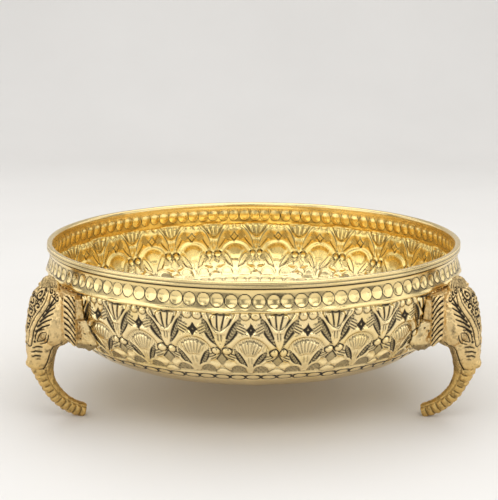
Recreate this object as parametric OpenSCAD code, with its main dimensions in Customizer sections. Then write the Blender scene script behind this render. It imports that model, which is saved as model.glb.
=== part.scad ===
// Brass urli bowl: a beaten sheet bowl with a wired rim, standing on three cast
// elephant-head legs. The table is the plane z = 0 and the bowl's axis is the Z axis.

/* [Bowl] */
// Outer diameter over the rolled rim
rim_d = 254; // [230:1:280]
// Height of the rim's top above the table
rim_h = 96.5; // [92:0.5:104]
// Thickness of the brass sheet
sheet_t = 1.4; // [1:0.1:1.6]
// Depth of the bowl, from the rim's top to the outside of its floor
bowl_depth = 70.5; // [66:0.5:74]
// Radius of the flat part of the floor
floor_r = 70; // [60:1:80]
// Squareness of the wall's curve: 2 is an ellipse, more is squarer
wall_power = 2.3; // [2:0.1:2.6]

/* [Rim and neck band] */
// Outer diameter of the sheet rolled round the rim wire
roll_d = 3.8; // [3.4:0.1:4.4]
// Diameter of the rim wire
wire_d = 1.8; // [1.4:0.1:2]
// Depth from the rim's top to the edge of the ledge under the neck band
ledge_z = 16.6; // [15:0.1:18]
// How far the ledge stands out from the wall below it
ledge_step = 1.9; // [1.2:0.1:2.4]

/* [Legs] */
// Distance from the bowl's axis to the middle of each head
head_rho = 131; // [130:0.5:132]
// Largest radius of the head
head_r = 17.4; // [16:0.2:18]
// Half the distance across a head, over its ears
ear_half = 22; // [20:0.5:23]
// Number of raised ribs on each ear
ear_ribs = 8; // [5:1:10]
// Radius of the trunk's curve
trunk_bend = 38; // [37:0.5:39]
// Number of ringed steps down the trunk
trunk_rings = 12; // [8:1:16]
// Radius of the trunk where it leaves the head
trunk_top_r = 7; // [6.5:0.1:7.5]
// Radius of the trunk at its foot
trunk_tip_r = 4.5; // [4.2:0.1:5]

/* [Leg fixing] */
// Diameter of the flush rivet through the wall into each leg
rivet_d = 4; // [3:0.5:5]
// Diameter of the rivet's countersunk head, flush with the inside of the wall
rivet_head_d = 7; // [6:0.5:8]
// Length of the rivet inside the leg's boss
rivet_reach = 8; // [6:0.5:10]

/* [Hidden] */
$fn = 96;

// Turn of each leg about the bowl's axis, from the front
LEFT = -60;
RIGHT = 60;
REAR = 180;

rim_overhang = 1.4;          // how far the rim stands out from the neck
ledge_overhang = 0.7;        // how far the ledge stands out from the rim
ledge_slope = 1.4;           // drop from the ledge's edge to the wall
neck_waist = 0.4;            // how far the neck curves in at its waist
waist_z = 8;                 // depth of the waist
flare_z = 11;                // depth where the neck starts to flare to the ledge
wall_steps = 22;

rim_r = rim_d / 2;
roll_r = roll_d / 2;
neck_r = rim_r - rim_overhang;     // outside of the neck, under the rim
ledge_r = rim_r + ledge_overhang;  // edge of the ledge
wall_r = ledge_r - ledge_step;     // outside of the wall, under the ledge
wall_top = ledge_z + ledge_slope;  // where the wall's curve starts, down from the rim

// The wall's outside: a quarter of a squared ellipse from the ledge to the floor.
// Every depth below is counted down from the rim's top.
function wall_point(turn) = [
    floor_r + (wall_r - floor_r) * pow(cos(turn), 2 / wall_power),
    -wall_top - (bowl_depth - wall_top) * pow(sin(turn), 2 / wall_power)];

OUTSIDE = concat(
    [[neck_r, -roll_r],
     [neck_r - neck_waist, -waist_z],
     [neck_r, -flare_z],
     [ledge_r, -ledge_z],
     [wall_r, -wall_top]],
    [for (i = [1:wall_steps]) wall_point(90 * i / wall_steps)],
    [[0, -bowl_depth]]);

// The same curve moved into the metal by the sheet's thickness, along its normals
function along(i) = OUTSIDE[min(i + 1, len(OUTSIDE) - 1)] - OUTSIDE[max(i - 1, 0)];
function inner_point(i) =
    let (run = along(i), size = norm(run))
    [max(0, OUTSIDE[i][0] + sheet_t * run[1] / size), OUTSIDE[i][1] - sheet_t * run[0] / size];
INSIDE = concat(
    [[neck_r - sheet_t, -roll_r]],
    [for (i = [1:len(OUTSIDE) - 2]) inner_point(i)],
    [[0, -bowl_depth + sheet_t]]);

function backwards(list) = [for (i = [len(list) - 1:-1:0]) list[i]];

// The rivet goes through the wall at the middle of the boss
boss_low = 64.5;
boss_high = 75.5;
rivet_z = (boss_low + boss_high) / 2;
rivet_wall_r = lookup(rim_h - rivet_z, [for (p = OUTSIDE) [-p[1], p[0]]]);
casting_back = 130;          // the back of the casting, beside the boss

module at_rim() {
    translate([0, 0, rim_h]) children();
}

// From leg coordinates (X outwards from the bowl's axis) to the leg's own place
module place(turn) {
    rotate([0, 0, turn - 90]) children();
}

module rim_tube(radius) {
    translate([rim_r - roll_r, -roll_r]) circle(r = radius, $fn = 48);
}

// The whole space inside the bowl's outside surface, which the castings fit against
module bowl_space() {
    at_rim() rotate_extrude($fn = 180) polygon(concat([[0, -roll_r]], OUTSIDE));
}

module bowl_shell() {
    color("gold") difference() {
        at_rim() difference() {
            union() {
                rotate_extrude($fn = 180) polygon(concat(OUTSIDE, backwards(INSIDE)));
                rotate_extrude($fn = 180) rim_tube(roll_r);
            }
            rotate_extrude($fn = 180) rim_tube(wire_d / 2);
        }
        for (turn = [LEFT, RIGHT, REAR]) place(turn) rivet_shape();
    }
}

module rim_wire() {
    color("goldenrod") at_rim() rotate_extrude($fn = 180) rim_tube(wire_d / 2);
}

// A countersunk rivet along X, its head flush with the inside of the wall
module rivet_shape() {
    inner_face = rivet_wall_r - sheet_t;
    head_l = sheet_t - 0.2;  // the head ends short of the wall's outside
    translate([inner_face, 0, rivet_z]) rotate([0, 90, 0]) {
        cylinder(r = rivet_d / 2, h = sheet_t + rivet_reach, $fn = 48);
        cylinder(r1 = rivet_head_d / 2, r2 = rivet_d / 2, h = head_l, $fn = 48);
    }
}

module rivet(turn) {
    color("darkgoldenrod") place(turn) rivet_shape();
}

head_z = 62;                 // height of the head's middle
crown_rise = 24;             // from the head's middle up to the crown
chin_drop = 25;              // from the head's middle down to the chin
head_squareness = 0.8;       // 1 is round in outline, less is squarer

// Rounded parts of the face, as [outwards from the head's middle, sideways, height, radius]
CREST = [7, 0, 80, 5.5];
BROW = [9, 0, 57, 10.2];
MUZZLE = [10.2, 0, 46, 8.6];
KNOB = [16.4, 0, 36.5, 3.6];
EYE_LEFT = [10, -12.4, 54, 2.6];
EYE_RIGHT = [10, 12.4, 54, 2.6];

module face_part(spot) {
    translate([head_rho + spot[0], spot[1], spot[2]]) sphere(r = spot[3], $fn = 48);
}

// Half of the head's outline as [radius, height], from the crown to the chin
function head_half(turn) = [
    head_r * pow(sin(turn), head_squareness),
    head_z + (turn < 90 ? crown_rise : chin_drop) * cos(turn)];

module head() {
    translate([head_rho, 0, 0]) rotate_extrude($fn = 72)
        polygon([for (turn = [0:10:180]) head_half(turn)]);
    face_part(CREST);
    face_part(BROW);
    face_part(MUZZLE);
    face_part(EYE_LEFT);
    face_part(EYE_RIGHT);
}

// One ear: a leaning plate along the back of the cheek, with diagonal ribs
module ear(side) {
    ear_low = 49;
    ear_high = 78;
    ear_lean = 24;
    ear_w = 11;
    ear_t = 4;
    rib_r = 1;
    rib_l = 8.6;
    rib_sunk = 0.4;
    rib_slope = 30;
    rib_from = 1;            // gap between the casting's back and each rib
    first_rib = 0.3;         // height of the lowest rib, in rib gaps
    rib_gap = (ear_high - ear_low) / ear_ribs;
    translate([casting_back, side * ear_half, 0]) rotate([0, 0, -side * ear_lean]) {
        translate([0, side > 0 ? -ear_t : 0, ear_low]) cube([ear_w, ear_t, ear_high - ear_low]);
        for (i = [0:ear_ribs - 1])
            translate([rib_from, -side * rib_sunk, ear_low + rib_gap * (i + first_rib)])
                rotate([0, rib_slope, 0]) cylinder(r = rib_r, h = rib_l, $fn = 24);
    }
}

// The trunk: short turned steps along one bend, each a little thinner, down to the foot
module trunk() {
    bend_rho = 104.5;
    bend_z = 39.2;
    bend_from = -8;
    bend_to = 73;
    taper = 0.55;            // 1 thins evenly, less thins sooner
    overlap = 1.12;          // length of each step, in step pitches
    step = (bend_to - bend_from) / trunk_rings;
    translate([bend_rho, 0, bend_z]) rotate([90, 0, 0])
        for (i = [0:trunk_rings - 1])
            let (down = i / (trunk_rings - 1),
                 thick = trunk_top_r + (trunk_tip_r - trunk_top_r) * pow(down, taper))
            rotate([0, 0, -bend_from - step * (i + 1)])
                rotate_extrude(angle = step * overlap, $fn = 96)
                    translate([trunk_bend, 0]) circle(r = thick, $fn = 40);
    // knob where the trunk leaves the face
    face_part(KNOB);
}

// Part of a ring round the bowl's axis, as wide as the head
module ring_block(r_out, low, high, half_width) {
    from = 100;              // well inside the wall
    reach = 50;
    spare = 1;
    intersection() {
        translate([0, 0, low]) cylinder(r = r_out, h = high - low, $fn = 180);
        translate([from, -half_width, low - spare])
            cube([reach, 2 * half_width, high - low + 2 * spare]);
    }
}

module leg(turn) {
    nape_low = 50;           // the nape: the block that joins the ears to the head
    nape_high = 77;
    nape_t = 6;
    nape_half = ear_half - 1;
    boss_t = 4;
    boss_half = ear_half - 2;
    shelf_t = 3;
    shelf_half = ear_half - 4;
    color("khaki") place(turn) difference() {
        union() {
            difference() {
                union() {
                    head();
                    ear(1);
                    ear(-1);
                    ring_block(casting_back + nape_t, nape_low, nape_high, nape_half);
                }
                cylinder(r = casting_back, h = rim_h, $fn = 180);
            }
            trunk();
            // boss that meets the wall, and the shelf that meets the ledge
            ring_block(casting_back + boss_t, boss_low, boss_high, boss_half);
            ring_block(casting_back + shelf_t, boss_high, rim_h - wall_top, shelf_half);
        }
        bowl_space();
        rivet_shape();
        below_table();
    }
}

// What is cut off the trunk to make the flat foot
module below_table() {
    inwards = 40;
    length = 60;
    half_width = 20;
    depth = 10;
    translate([head_rho - inwards, -half_width, -depth]) cube([length, 2 * half_width, depth]);
}

// Braze run in between the casting's back and the wall, below the boss
module braze(turn) {
    seat_low = 50;
    seat_rise = 4;           // from the lowest bead up to the filled part
    seat_half = ear_half - 3;
    beads = 6;
    bead_r = 5.6;
    bead_rho = 124;
    bead_z = seat_low + 5;
    bead_half = ear_half - 7;
    bead_gap = 2 * bead_half / (beads - 1);
    color("tan") place(turn) difference() {
        intersection() {
            union() {
                ring_block(casting_back, seat_low + seat_rise, boss_low, seat_half);
                for (i = [0:beads - 1])
                    translate([bead_rho, bead_gap * i - bead_half, bead_z + i % 2])
                        sphere(r = bead_r, $fn = 32);
            }
            cylinder(r = casting_back, h = boss_low, $fn = 180);
        }
        bowl_space();
    }
}

module leg_left() { leg(LEFT); }
module leg_right() { leg(RIGHT); }
module leg_rear() { leg(REAR); }
module rivet_left() { rivet(LEFT); }
module rivet_right() { rivet(RIGHT); }
module rivet_rear() { rivet(REAR); }
module braze_left() { braze(LEFT); }
module braze_right() { braze(RIGHT); }
module braze_rear() { braze(REAR); }

bowl_shell();
rim_wire();
leg_left();
leg_right();
leg_rear();
rivet_left();
rivet_right();
rivet_rear();
braze_left();
braze_right();
braze_rear();
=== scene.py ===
"""Looks of the brass urli bowl: an embossed sheet bowl on three cast elephant-head legs.

Lengths in the shape functions are millimetres, and turn into metres when a mesh is made.
Bowl places are (turn about the axis from the front, distance down the wall). Leg places
are (rho, t, z): outwards from the bowl's axis, sideways, and up from the table.
"""
import math

import bpy
import numpy as np
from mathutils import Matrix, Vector


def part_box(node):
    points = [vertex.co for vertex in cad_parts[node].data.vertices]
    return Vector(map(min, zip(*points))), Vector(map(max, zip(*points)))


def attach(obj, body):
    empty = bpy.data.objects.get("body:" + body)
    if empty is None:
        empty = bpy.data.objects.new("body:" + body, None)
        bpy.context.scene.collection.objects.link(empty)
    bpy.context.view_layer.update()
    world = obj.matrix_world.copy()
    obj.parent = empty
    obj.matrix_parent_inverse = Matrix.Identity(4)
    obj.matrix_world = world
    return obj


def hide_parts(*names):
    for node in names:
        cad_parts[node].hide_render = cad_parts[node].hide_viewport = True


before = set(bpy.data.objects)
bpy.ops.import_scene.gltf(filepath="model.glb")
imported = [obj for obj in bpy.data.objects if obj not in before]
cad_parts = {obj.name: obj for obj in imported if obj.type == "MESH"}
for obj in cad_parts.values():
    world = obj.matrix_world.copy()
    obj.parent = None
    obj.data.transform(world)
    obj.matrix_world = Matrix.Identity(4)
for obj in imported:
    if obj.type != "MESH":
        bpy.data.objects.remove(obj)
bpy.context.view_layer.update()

MM = 0.001
TAU = 2 * math.pi

# The bowl, as the CAD has it
LEDGE_OVERHANG = 0.7    # how far the ledge stands out from the rim
LEDGE_STEP = 1.9        # and from the wall below it
RIM_OVERHANG = 1.4      # how far the rim stands out from the neck
WALL_TOP = -18.0        # where the wall starts, under the ledge
RIM_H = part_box("bowl_shell")[1][2] / MM
LEDGE_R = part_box("bowl_shell")[1][0] / MM
RIM_R = LEDGE_R - LEDGE_OVERHANG
WALL_R = LEDGE_R - LEDGE_STEP
NECK_R = RIM_R - RIM_OVERHANG
BOWL_DEPTH = RIM_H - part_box("bowl_shell")[0][2] / MM
FLOOR_R = 70.0
WALL_POWER = 2.3
SHEET = 1.4
ROUND = 780.0           # about the length of the wall all the way round
RELIEF_END = 49.0       # how far down the wall the fine rings go
WALL_RELIEF = 1.75      # gain on the pattern's height
BACK_RELIEF = 0.85      # how strongly the pattern shows on the inside
BACK_RISE = 3.5         # how much higher it sits there
NECK_RISE = 1.5         # and the same for the neck's beads
NECK_RELIEF = 2.2       # extra height of the neck's beads on the inside
BACK_EDGE_SHADE = 1.45       # darkness of the painted shade along the edges of the pattern's shapes on the inside
BEAD_SHADE = 0.8        # and of the painted shade round the neck's beads there
RIM_DARK = 0.32         # tarnish all over the rim
LEG_TURNS = {"left": -60.0, "right": 60.0, "rear": 180.0}

# How satin and warm the sheet is: 1 inside the wall, and less elsewhere
FLOOR_SATIN = 0.3
RIM_SATIN = 0.4
NECK_SATIN = 0.5
WALL_SATIN = 0.16

# The embossed pattern
FLOWERS = 25            # upper flowers round the wall, with as many lower ones between
CIRCLES = 105           # dished circles round the neck band
OVALS = 82              # ovals round the bottom border
HALF = 15.0             # half a flower's pitch, in pattern millimetres
FLOWER_TURN = -0.9      # where a lower flower sits, in degrees from the front
CIRCLE_TURN = 1.4


# ---------------------------------------------------------------- small maths

def clamp(x, low=0.0, high=1.0):
    return np.minimum(np.maximum(x, low), high)


def ramp(x, start, end):
    """0 at start, 1 at end, and smooth between."""
    t = clamp((x - start) / (end - start))
    return t * t * (3 - 2 * t)


def ridge(distance, half_width):
    """A round-topped ridge: 1 on its line, 0 at its edge."""
    return clamp(1 - (distance / half_width) ** 2)


def gauss(distance, width):
    return np.exp(-(distance / width) ** 2)


def waves(u, v, seed, count=7, low=1.0, high=6.0):
    """Smooth noise about -1..1 from a few plane waves. u is taken round the bowl in turns,
    so whole numbers of waves keep it seamless."""
    rng = np.random.default_rng(seed)
    total = np.zeros(np.broadcast(u, v).shape)
    for _ in range(count):
        around = rng.integers(int(low), int(high) + 1) * rng.choice([-1, 1])
        down = rng.uniform(-high, high)
        total += np.sin(TAU * (around * u + down * v) + rng.uniform(0, TAU))
    return total / math.sqrt(count)


def segment(x, y, a, b):
    """Distance to a straight stroke, and how far along it the nearest point is."""
    ax, ay = a
    dx, dy = b[0] - ax, b[1] - ay
    along = clamp(((x - ax) * dx + (y - ay) * dy) / (dx * dx + dy * dy))
    return np.hypot(x - ax - along * dx, y - ay - along * dy), along


def path(x, y, points):
    """Distance to a stroke through several points, and how far along it, 0 to 1."""
    best = np.full(np.shape(x), 1e9)
    where = np.zeros(np.shape(x))
    parts = len(points) - 1
    for i in range(parts):
        d, along = segment(x, y, points[i], points[i + 1])
        nearer = d < best
        best = np.where(nearer, d, best)
        where = np.where(nearer, (i + along) / parts, where)
    return best, where


def leaf(x, y, a, b, half_width, fullest=0.42):
    """Inside a blade from a to b: 1 on its spine, 0 at its edge, less than 0 outside.
    Also gives the distance along it and across it in millimetres."""
    length = math.hypot(b[0] - a[0], b[1] - a[1])
    ux, uy = (b[0] - a[0]) / length, (b[1] - a[1]) / length
    along = ((x - a[0]) * ux + (y - a[1]) * uy) / length
    across = (x - a[0]) * -uy + (y - a[1]) * ux
    t = clamp(along)
    power = math.log(0.5) / math.log(fullest)
    width = half_width * np.sin(math.pi * t ** power) ** 0.9 + 1e-6
    inside = np.where((along > 0) & (along < 1), 1 - np.abs(across) / width, -1.0)
    return inside, along * length, across


# ---------------------------------------------------------------- embossed pattern

def paint(height, dark, where, new_height, new_dark):
    """Lays a shape over the pattern where its mask is above 0."""
    return height + (new_height - height) * where, dark + (new_dark - dark) * where


def flower_wall(turn, s):
    """Height and darkness of the wall's pattern. s is millimetres down from the ledge."""
    u = turn / 360.0
    pitch = (turn - FLOWER_TURN) / 360.0 * FLOWERS
    pitch = pitch + 0.018 * waves(u, s / ROUND, 11, low=3, high=40)
    s = s + 0.45 * waves(u, s / ROUND, 12, low=3, high=30)
    xb = np.abs(2 * HALF * (pitch - np.round(pitch)))   # sideways from the lower flower
    xa = HALF - xb                                      # sideways from the upper flower
    matting = waves(u, s / ROUND, 13, count=14, low=240, high=620)
    height, dark = np.full_like(matting, -0.28), 0.14 + 0.1 * matting
    height, dark = arch_over(height, dark, xb, s)
    height, dark = lower_flower(height, dark, xb, s)
    height, dark = upper_flower(height, dark, xa, s)
    height, dark = star_and_beads(height, dark, xb, s)
    height, dark = discs_and_diamond(height, dark, xa, s)
    height, dark = scallops(height, dark, xa, s, matting)
    return height * WALL_RELIEF, dark


def arch_over(height, dark, xb, s):
    """The arch over the lower flower, with a shaded field inside it."""
    arch = np.hypot(xb / 11.3, (s - 22.1) / 10.0)
    in_arch = s < 23.0
    band = np.abs(arch - 1) * 10.4
    shoulder = ramp(0.93 - arch, 0, 0.05) * in_arch
    lines = np.sin(TAU * (xb * 0.75 + s * 0.3))
    height, dark = paint(height, dark, shoulder, -0.25, 0.28 + 0.18 * lines)
    height, dark = paint(height, dark, ramp(1.9 - band, 0, 0.5) * in_arch, -0.3, 0.5)
    return paint(height, dark, ramp(1.6 - band, 0, 0.5) * in_arch,
                 0.3 * ridge(band, 1.8) + 0.05, 0.0)


def lower_flower(height, dark, xb, s):
    """A fan of petals under the arch, between two leaf blades and two smooth bands."""
    fan_s = 29.5 - s
    angle = np.degrees(np.arctan2(xb, np.maximum(fan_s, 0.01)))
    reach = np.hypot(xb, fan_s)
    crown, seam = petals(angle, reach, 9.2)
    edge = 12.9 + 0.8 * crown - 0.0016 * angle ** 2
    fan = ramp(edge - reach, 0, 0.6) * ramp(32 - angle, 0, 3) * ramp(reach, 4.3, 5.0)
    height, dark = paint(height, dark, fan, 0.02 + 0.42 * crown * ramp(reach, 3, 8),
                         0.62 * seam * ramp(reach, 5, 7))
    rim_of_fan = gauss(reach - edge - 0.5, 0.42) * ramp(33 - angle, 0, 3)
    dark = np.maximum(dark, rim_of_fan * 0.75)
    height, dark = blade(height, dark, xb, s, (8.6, 20.6), (0.8, 36.4), 1.5)
    # smooth bands outside the blades, meeting in a point
    d, _ = path(xb, s, [(11.2, 22.6), (8.6, 27.0), (5.0, 32.2), (1.1, 37.2)])
    height, dark = paint(height, dark, ramp(1.2 - d, 0, 0.4), 0.42 * ridge(d, 1.5), 0.0)
    # fine ribs between the blades
    throat = ramp(35.6 - s, 0, 1) * ramp(s - 25.5, 0, 1) * ramp((36.5 - s) * 0.22 - xb, 0, 0.4)
    fine = np.cos(TAU * xb / 1.6)
    height, dark = paint(height, dark, throat, 0.05 + 0.12 * fine, 0.25 - 0.25 * fine)
    spear = ramp(1.0 - xb - 0.02 * (s - 30) ** 2, 0, 0.5) * ramp(s - 30, 0, 1)
    return paint(height, dark, spear, 0.25, 0.05)


def upper_flower(height, dark, xa, s):
    """A wider fan in a cup of smooth bands, with two long blades and a stem."""
    fan_s = 15.4 - s
    angle = np.degrees(np.arctan2(xa, np.maximum(fan_s, 0.01)))
    reach = np.hypot(xa, fan_s)
    crown, seam = petals(angle, reach, 16.0)
    edge = 15.3 + 0.8 * crown - 0.0024 * angle ** 2
    fan = ramp(edge - reach, 0, 0.6) * ramp(33 - angle, 0, 2) * ramp(reach, 4.6, 5.4)
    height, dark = paint(height, dark, fan, -0.12 + 0.62 * crown * ramp(reach, 4, 11),
                         seam * ramp(reach, 5, 8))
    # cup of smooth bands round it
    d, _ = path(xa, s, [(8.9, 0.2), (7.6, 3.4), (5.4, 6.9), (2.6, 9.7), (0.0, 11.4)])
    height, dark = paint(height, dark, ramp(1.75 - d, 0, 0.3), -0.3, 0.8)
    height, dark = paint(height, dark, ramp(1.4 - d, 0, 0.4), 0.6 * ridge(d, 1.7), 0.0)
    height, dark = blade(height, dark, xa, s, (10.2, 2.0), (1.2, 19.4), 1.75)
    # stem: three ribs, then a smooth point down to the discs
    stem = ramp(s - 10.9, 0, 0.5) * ramp(16.2 - s, 0, 0.8)
    stem = stem * ramp(2.1 - 0.16 * (s - 10.9) - xa, 0, 0.4)
    fine = np.cos(TAU * xa / 1.5)
    height, dark = paint(height, dark, stem, 0.1 + 0.16 * fine, 0.35 - 0.35 * fine)
    d, _ = segment(xa, s, (1.9, 14.6), (0.25, 20.2))
    return paint(height, dark, ramp(1.0 - d, 0, 0.4), 0.32 * ridge(d, 1.4), 0.03)


def punched_lines(height, dark, field, slant):
    """Short parallel lines in a field that fades to its edge."""
    lines = np.sin(TAU * slant)
    return paint(height, dark, ramp(field, 0, 0.25), 0.1 + 0.22 * lines, 0.34 - 0.4 * lines)


def star_and_beads(height, dark, xb, s):
    """A star between two upper flowers, and beads that hang under the ledge."""
    star = 1 - (xb / 3.3) ** 0.62 - (np.abs(s - 9.4) / 4.3) ** 0.62
    height, dark = paint(height, dark, ramp(star, -0.15, 0.08), -0.5, 1.0)
    height, dark = paint(height, dark, ramp(star, 0.4, 0.65), -0.1, 0.45)
    beside = ridge(np.hypot((xb - 5.1) / 2.6, (s - 8.8) / 3.4), 1.0)
    height, dark = punched_lines(height, dark, beside, s * 0.56 + xb * 0.32)
    bead = np.hypot(xb - 2.5, s - 1.3)
    height, dark = paint(height, dark, ramp(2.8 - bead, 0, 0.5), -0.25, 0.75)
    return paint(height, dark, ramp(2.3 - bead, 0, 0.5), 0.2 + 0.3 * ridge(bead, 2.4), 0.0)


def discs_and_diamond(height, dark, xa, s):
    """The pair of discs, and the diamond and lines under them."""
    diamond = 1 - xa / 3.1 - np.abs(s - 28.6) / 4.4
    edge_line = gauss(diamond, 0.13) * (s < 29.2)
    height, dark = paint(height, dark, ramp(diamond, -0.1, 0.1), -0.2, 0.6)
    height = height - 0.35 * edge_line
    dark = np.maximum(dark, edge_line)
    beside = ridge(np.hypot((xa - 5.2) / 2.4, (s - 26.2) / 3.0), 1.0)
    height, dark = punched_lines(height, dark, beside, s * 0.58 - xa * 0.24)
    disc = np.hypot(xa - 2.75, s - 22.2)
    height, dark = paint(height, dark, ramp(2.85 - disc, 0, 0.25), -0.35, 1.0)
    return paint(height, dark, ramp(2.4 - disc, 0, 0.3), 0.3 + 0.35 * ridge(disc, 2.6), 0.0)


def scallops(height, dark, xa, s, matting):
    """Scallops along the bottom, and a smooth half dome between them."""
    scallop = np.hypot((xa - 8.6) / 5.0, (s - 36.4) / 5.2)
    band = np.abs(scallop - 1) * 5.1
    inside = ramp(1 - scallop, 0, 0.12) * (s < 38.3)
    height, dark = paint(height, dark, inside, -0.25, 0.6 + 0.12 * matting)
    height, dark = paint(height, dark, ramp(1.15 - band, 0, 0.4) * (s < 36.5),
                         0.32 * ridge(band, 1.4), 0.04)
    lobe = np.hypot((xa - 3.1) / 2.2, (s - 33.3) / 1.7)
    height, dark = paint(height, dark, ramp(1 - lobe, 0, 0.3), 0.3, 0.05)
    dome = np.hypot(xa / 4.6, (s - 38.6) / 3.6)
    height, dark = paint(height, dark, ramp(1.12 - dome, 0, 0.1), -0.25, 0.7)
    return paint(height, dark, ramp(1 - dome, 0, 0.12), 0.1 + 0.4 * ridge(dome, 1.1), 0.03)


def blade(height, dark, x, s, top, tip, half_width):
    """A dark leaf blade with fine cross lines and a deep line along its outer edge."""
    inside, along, across = leaf(x, s, top, tip, half_width)
    lines = np.sin(TAU * (along / 1.7 + np.abs(across) * 0.4))
    skin = 0.2 * ridge(across, half_width)
    height, dark = paint(height, dark, ramp(inside, -1.0, -0.5), 0.32, 0.0)
    height, dark = paint(height, dark, ramp(inside, -0.3, 0.25), skin - 0.2, 0.62 + 0.16 * lines)
    edge = gauss(inside - 0.15, 0.34) * ramp(along, 1, 4)
    return height - 0.22 * edge, np.maximum(dark, edge)


def petals(angle, reach, spread):
    """Fan petals, one every so many degrees: their convex crowns, and the seams between them."""
    off = np.abs(angle / spread - np.round(angle / spread))
    to_seam = (0.5 - off) * math.radians(spread) * reach
    return 1 - (2 * off) ** 2, gauss(to_seam, 0.42)


def dish(height, dark, distance, radius, depth):
    """A dished circle inside a thin engraved line."""
    bowl = -depth * ridge(distance, radius)
    height, dark = paint(height, dark, ramp(radius + 0.3 - distance, 0, 0.3), bowl + 0.05, 0.2)
    line = gauss(distance - radius - 0.05, 0.30)
    return height - 0.2 * line, np.maximum(dark, line)


def neck_band(turn, z):
    """Dished circles round the neck. z is millimetres down from the rim, negative."""
    u = turn / 360.0
    place = (turn - CIRCLE_TURN) / 360.0 * CIRCLES
    number = np.round(place)
    rng = np.random.default_rng(21)
    shift = rng.uniform(-1, 1, (CIRCLES, 3))
    jitter = shift[number.astype(int) % CIRCLES]
    x = (place - number) * TAU * NECK_R / CIRCLES + 0.22 * jitter[..., 0]
    y = z + 10.6 + 0.25 * jitter[..., 1] + 0.35 * waves(u, 0 * u, 22, low=1, high=9)
    height = 0.05 * waves(u, z / ROUND, 23, low=20, high=70)
    # an even painted darkening of the whole band, standing in for its dark reflections
    dark = 0.46 + 0.13 * waves(u, z / ROUND, 25, low=8, high=50)
    return dish(height, dark, np.hypot(x, y), 3.62 + 0.1 * jitter[..., 2], 0.6)


def bottom_border(turn, s):
    """Long ovals round the foot of the wall."""
    place = turn / 360.0 * OVALS
    number = np.round(place)
    rng = np.random.default_rng(31)
    jitter = rng.uniform(-1, 1, (OVALS, 2))[number.astype(int) % OVALS]
    x = (place - number) * 8.5 + 0.3 * jitter[..., 0]
    y = s - 43.4 - 0.2 * jitter[..., 1]
    shape = (np.abs(x / 4.1) ** 2.4 + np.abs(y / 2.5) ** 2.4) ** (1 / 2.4)
    height = 0.32 * ridge(shape, 1.15)
    line = gauss((shape - 1) * 3, 0.42)
    return height - 0.2 * line, line


def relief(turn, s):
    """Height and darkness over the whole wall, from the ledge (s = 0) to the plain belly."""
    height, dark = flower_wall(turn, s)
    border_h, border_d = bottom_border(turn, s)
    to_border = ramp(s, 38.4, 38.9)
    height = height + (border_h - height) * to_border
    dark = dark + (border_d - dark) * to_border
    line = gauss(s - 39.9, 0.5)
    height = height + 0.35 * line - 0.2 * gauss(s - 38.8, 0.35)
    dark = np.maximum(dark * (1 - line), 0.7 * gauss(s - 38.7, 0.3))
    # painted shadow under the ledge's lip, deeper over each upper flower
    shade = gauss(s - 0.4, 0.5) * (0.25 + 0.75 * over_flower(turn) ** 2)
    dark = np.maximum(dark, shade)
    belly = ramp(s, 46.2, 47.2)
    return height * (1 - belly), dark * (1 - belly)


def over_flower(turn):
    """1 over the middle of each upper flower, 0 between them."""
    return 0.5 - 0.5 * np.cos(TAU * (turn - FLOWER_TURN) / 360.0 * FLOWERS)


def ledge_lip(turn, z):
    """The ledge's edge, pushed out a little over each upper flower."""
    uneven_edge = 0.08 * waves(turn / 360, 0 * turn, 24, low=9, high=40)
    return gauss(z + 16.6, 0.9) * (0.65 * over_flower(turn) ** 2 - 0.12 + uneven_edge)


# ---------------------------------------------------------------- the bowl's section

def wall_section(steps=400):
    """The smooth outside of the wall, from under the ledge to the floor's edge."""
    turn = np.radians(np.linspace(0, 90, steps))
    r = FLOOR_R + (WALL_R - FLOOR_R) * np.cos(turn) ** (2 / WALL_POWER)
    z = WALL_TOP - (BOWL_DEPTH + WALL_TOP) * np.sin(turn) ** (2 / WALL_POWER)
    return np.stack([r, z], -1)


def neck_section():
    """Outside of the neck, from under the rim to the wall's top."""
    return np.array([
        (NECK_R, -4.9), (NECK_R - 0.3, -6.6), (NECK_R - 0.35, -8.0), (NECK_R, -10.3),
        (NECK_R + 0.75, -13.2), (LEDGE_R - 0.5, -15.4), (LEDGE_R - 0.08, -16.2),
        (LEDGE_R - 0.05, -16.7), (LEDGE_R - 0.5, -17.1), (WALL_R + 0.35, -17.45),
        (WALL_R, WALL_TOP)])


def rim_section():
    """The rolled rim, from the inside of the neck over the top to its outside:
    a flat lip, a thin groove and a round bead."""
    return np.array([
        (NECK_R - SHEET, -4.9), (RIM_R - 3.15, -4.2), (RIM_R - 3.55, -3.4), (RIM_R - 3.75, -2.3),
        (RIM_R - 3.6, -1.1), (RIM_R - 3.1, -0.4), (RIM_R - 2.2, -0.05), (RIM_R - 1.2, -0.02),
        (RIM_R - 0.5, -0.2), (RIM_R - 0.15, -0.6), (RIM_R - 0.1, -1.4), (RIM_R - 0.28, -1.75),
        (RIM_R - 0.62, -1.95), (RIM_R - 0.3, -2.15), (RIM_R - 0.08, -2.6), (RIM_R, -3.2),
        (RIM_R - 0.2, -3.9), (RIM_R - 0.65, -4.4), (RIM_R - 1.15, -4.65), (NECK_R, -4.9)])


def lengths(points):
    return np.r_[0, np.cumsum(np.hypot(*np.diff(points, axis=0).T))]


def walk(points, step, smooth=0.0):
    """The same curve with points a step apart."""
    s = lengths(points)
    count = max(2, int(round(s[-1] / step)) + 1)
    at = np.linspace(0, s[-1], count)
    curve = np.stack([np.interp(at, s, points[:, k]) for k in (0, 1)], -1)
    if smooth:
        reach = max(1, int(smooth / step))
        kernel = np.hanning(2 * reach + 3)
        kernel /= kernel.sum()
        padded = np.pad(curve, ((reach + 1, reach + 1), (0, 0)), mode="reflect", reflect_type="odd")
        curve = np.stack([np.convolve(padded[:, k], kernel, "valid") for k in (0, 1)], -1)
    return curve


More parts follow.
